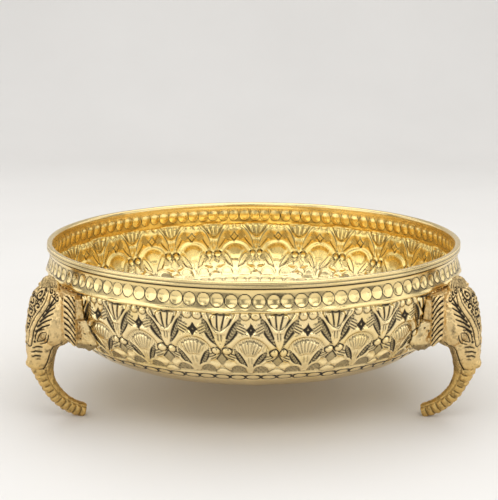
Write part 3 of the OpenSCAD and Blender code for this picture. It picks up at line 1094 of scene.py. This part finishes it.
def brass(name, bright, warm, rough, grain, grain_scale, patina_and_shade=True, pits=0.0):
    """Polished or cast brass, darkened towards near-black from a vertex layer that holds both
    tarnish in its hollows and painted shade.
    """
    n = Nodes(name)
    satin = n.add("ShaderNodeAttribute", attribute_name="satin").outputs["Fac"]
    tarnish = n.remap(n.noise(55.0, 5.0), 0.42, 0.72, 0.0, 0.6)
    colour = n.mix(n.math("MAXIMUM", tarnish, n.math("MULTIPLY", satin, 0.85)), bright, warm)
    speckle = n.noise(2600.0, 2.0)
    gloss = n.remap(n.noise(180.0, 5.0), 0.3, 0.75, rough * 0.75, rough * 1.45)
    if patina_and_shade:
        layer = n.add("ShaderNodeAttribute", attribute_name="patina_and_shade").outputs["Fac"]
        broken = n.math("MULTIPLY", layer, n.remap(speckle, 0.35, 0.6, 0.88, 1.08))
        depth = n.remap(broken, 0.25, 0.75, 0.0, 0.97)
        colour = n.mix(depth, colour, PATINA_AND_SHADE)
        gloss = n.math("ADD", gloss, n.math("MULTIPLY", depth, 0.30))
    gloss = n.math("ADD", gloss, n.math("MULTIPLY", satin, 0.14))
    n.link(colour, n.shader.inputs["Base Color"])
    n.link(gloss, n.shader.inputs["Roughness"])
    n.shader.inputs["Metallic"].default_value = 1.0
    soft = n.bump(n.noise(140.0, 3.0), grain * 0.6, 0.0006)
    fine = n.bump(n.noise(grain_scale, 3.0, 0.6), grain, 0.00012, soft)
    if pits:
        fine = n.bump(n.remap(n.noise(700.0, 2.0), 0.32, 0.5, 0.0, 1.0), pits, 0.0003, fine)
    n.link(fine, n.shader.inputs["Normal"])
    return n.material


def floor_material():
    n = Nodes("pale_floor")
    cloud = n.remap(n.noise(3.0), 0.3, 0.7, 0.0, 1.0)
    n.link(n.mix(cloud, (0.70, 0.68, 0.65, 1), (0.74, 0.72, 0.69, 1)), n.shader.inputs["Base Color"])
    n.shader.inputs["Roughness"].default_value = 0.75
    return n.material


# ---------------------------------------------------------------- studio

def add_floor():
    points = []
    size, back, rise, bend = 2600.0, 1500.0, 1800.0, 500.0
    profile = [(-size, 0.0), (back - bend, 0.0)]
    profile += [(back - bend + bend * math.sin(a), bend - bend * math.cos(a))
                for a in np.linspace(0, math.pi / 2, 14)[1:]]
    profile += [(back, rise)]
    for y, z in profile:
        points += [(-size, y, z), (size, y, z)]
    faces = [[2 * i, 2 * i + 1, 2 * i + 3, 2 * i + 2] for i in range(len(profile) - 1)]
    floor = make_mesh("studio_floor", points, faces)
    floor.data.materials.append(floor_material())


def area_light(name, place, target, size, power, colour=(1, 1, 1)):
    data = bpy.data.lights.new(name, "AREA")
    data.shape = "RECTANGLE"
    data.size, data.size_y = size
    data.energy = power
    data.color = colour
    light = bpy.data.objects.new(name, data)
    light.location = place
    aim(light, target)
    bpy.context.scene.collection.objects.link(light)


def aim(obj, target):
    direction = Vector(target) - Vector(obj.location)
    obj.rotation_euler = direction.to_track_quat("-Z", "Y").to_euler()


def add_lights():
    middle = (0, 0, 0.06)
    area_light("top_soft", (0.0, 0.25, 1.25), middle, (2.0, 1.7), 17)
    area_light("high_front_soft", (0.10, -0.95, 1.15), middle, (1.6, 0.7), 7)
    area_light("left_soft", (-1.15, -0.45, 0.50), middle, (1.0, 1.0), 4.5)
    area_light("right_soft", (1.15, -0.45, 0.50), middle, (1.0, 1.0), 3.5)
    area_light("back_left_soft", (-1.15, 0.75, 0.50), middle, (1.0, 0.8), 2.4)
    area_light("back_right_soft", (1.15, 0.75, 0.50), middle, (1.0, 0.8), 2.4)
    area_light("front_left_soft", (-0.72, -1.35, 0.42), middle, (1.30, 0.6), 2.3)
    area_light("front_right_soft", (0.86, -1.27, 0.42), middle, (0.96, 0.6), 1.9)
    world = bpy.data.worlds.new("studio_air")
    world.use_nodes = True
    world.node_tree.nodes["Background"].inputs["Color"].default_value = (0.78, 0.80, 0.84, 1)
    world.node_tree.nodes["Background"].inputs["Strength"].default_value = 0.33
    bpy.context.scene.world = world
    bpy.context.scene.view_settings.view_transform = "Standard"


def add_camera():
    """At the view's height and distance: 11.65 degrees down, a little off centre."""
    data = bpy.data.cameras.new("camera")
    data.sensor_width = 36.0
    data.sensor_fit = "AUTO"
    data.lens = 93.4
    data.clip_start = 0.01
    camera = bpy.data.objects.new("camera", data)
    distance = 0.805
    down = math.radians(11.01)
    pan = math.atan(4.67 / 1297.5)
    camera.location = (0, -distance * math.cos(down), RIM_H * MM + distance * math.sin(down))
    tilt = math.radians(90 - 11.65)
    camera.rotation_euler = (tilt, 0, pan)
    bpy.context.scene.collection.objects.link(camera)
    bpy.context.scene.camera = camera


# ---------------------------------------------------------------- build

def place(piece, node, slot, material):
    """Gives a piece its material and puts it in the place of a CAD node."""
    piece.data.materials.append(material)
    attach(piece, "root")
    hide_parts(node)


def main():
    add_camera()
    add_floor()
    add_lights()
    sheet = brass("sheet_brass_polished", BRASS, BRASS_WARM, 0.13, 0.14, 1500.0)
    cast = brass("cast_brass_aged", CAST, CAST_WARM, 0.30, 0.5, 1300.0, pits=0.35)
    lump = brass("braze_brass_rough", BRAZE, CAST_WARM, 0.34, 0.6, 1100.0, pits=0.6)
    place(build_bowl(), "bowl_shell", "sheet_brass", sheet)
    step = 0.45
    casting = leg_mesh(step)
    seat = skin(seat_shape, (110.0, -29.0, 42.0), (132.0, 29.0, 67.0), step)
    for number, (side, turn) in enumerate(LEG_TURNS.items()):
        leg = build_leg("elephant_leg_" + side, turn, casting, 100 + number)
        place(leg, "leg_" + side, "cast_brass", cast)
        lumps = build_seat("braze_seat_" + side, turn, seat, 200 + number)
        place(lumps, "braze_" + side, "braze_brass", lump)
        pin = build_rivet("rivet_pin_" + side, turn)
        place(pin, "rivet_" + side, "rivet_brass", cast)
    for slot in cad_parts["rim_wire"].material_slots:
        slot.material = cast


main()
